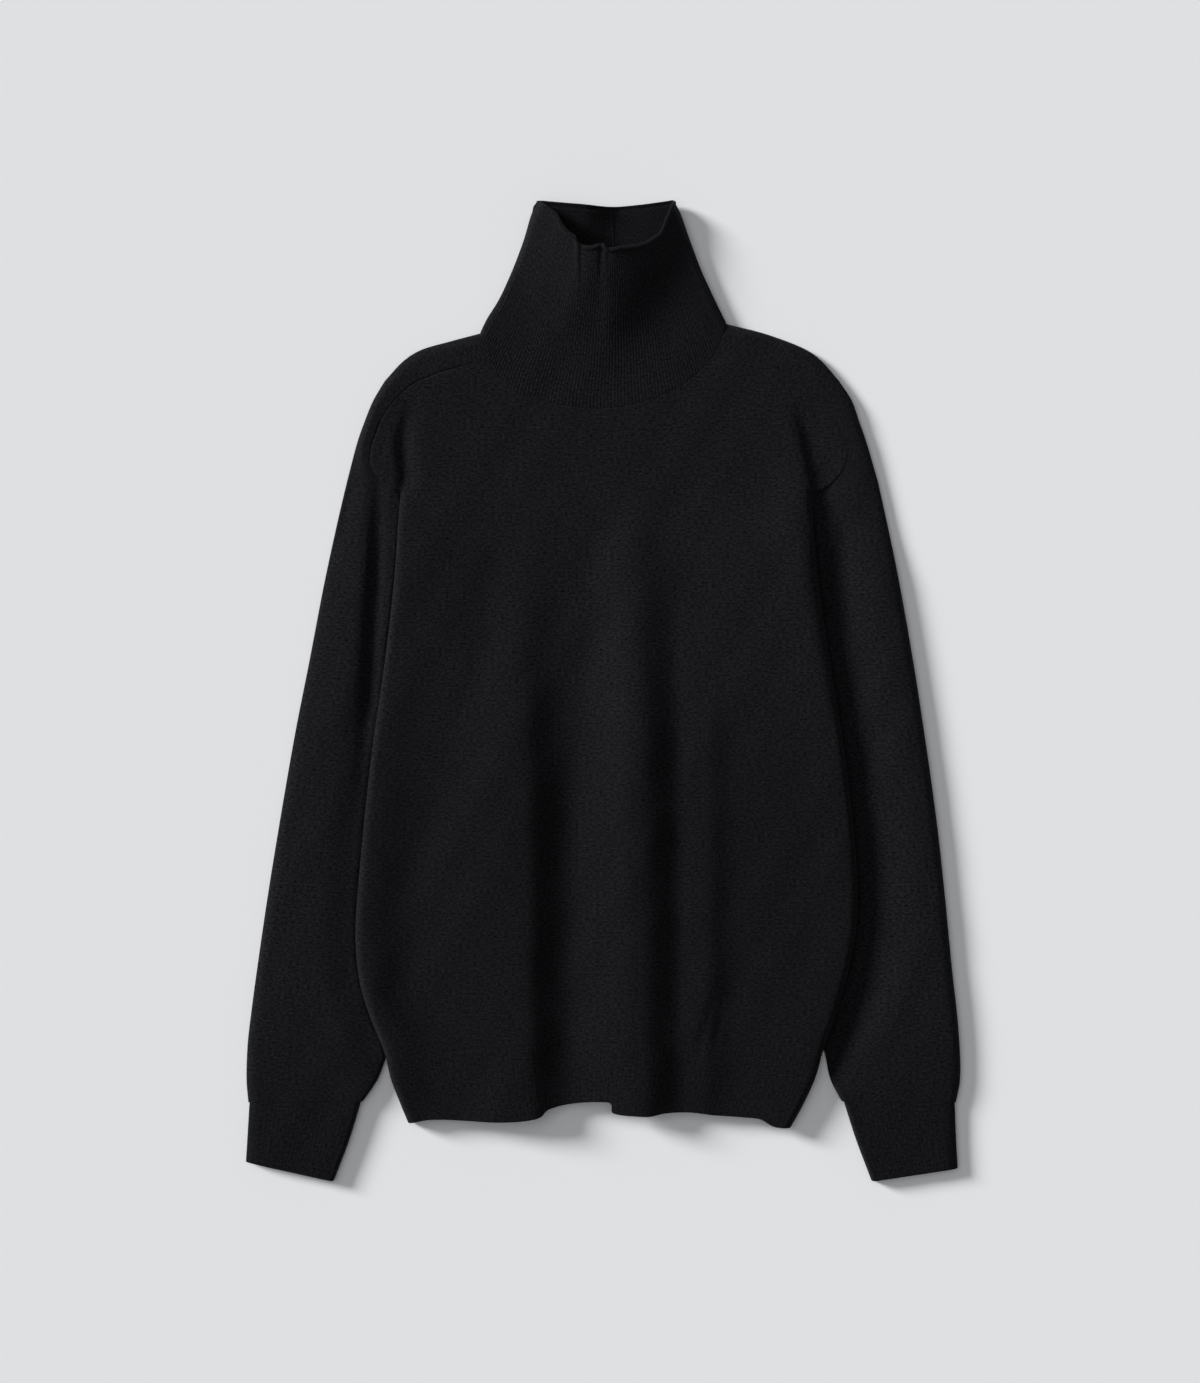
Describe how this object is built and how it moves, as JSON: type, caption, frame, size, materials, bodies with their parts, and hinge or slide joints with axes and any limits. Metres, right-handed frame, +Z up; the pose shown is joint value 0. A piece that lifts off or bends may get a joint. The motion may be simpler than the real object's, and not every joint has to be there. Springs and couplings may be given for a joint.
{
  "type": "turtleneck sweater",
  "caption": "Long-sleeved turtleneck sweater laid flat, with saddle shoulders, a tall standing rib collar, and rib hem and cuffs.",
  "frame": {"origin": "centre of the garment's box on the surface that it lies on", "axes": "+Z up from that surface through the garment's front, +Y from the hem to the collar, +X towards the wearer's left sleeve"},
  "size_m": [0.6081, 0.8335, 0.0342],
  "materials": {
    "body_knit": "fine plain knit wool, charcoal black, soft nap",
    "rib_knit": "fine one-by-one rib wool, charcoal black, soft nap"
  },
  "bodies": {
    "root": {"front": "body_knit", "back": "body_knit", "sleeve_right": "body_knit", "sleeve_left": "body_knit", "collar": "rib_knit", "hem_rib_front": "rib_knit", "hem_rib_back": "rib_knit", "cuff_right": "rib_knit", "cuff_left": "rib_knit"}
  },
  "joints": []
}
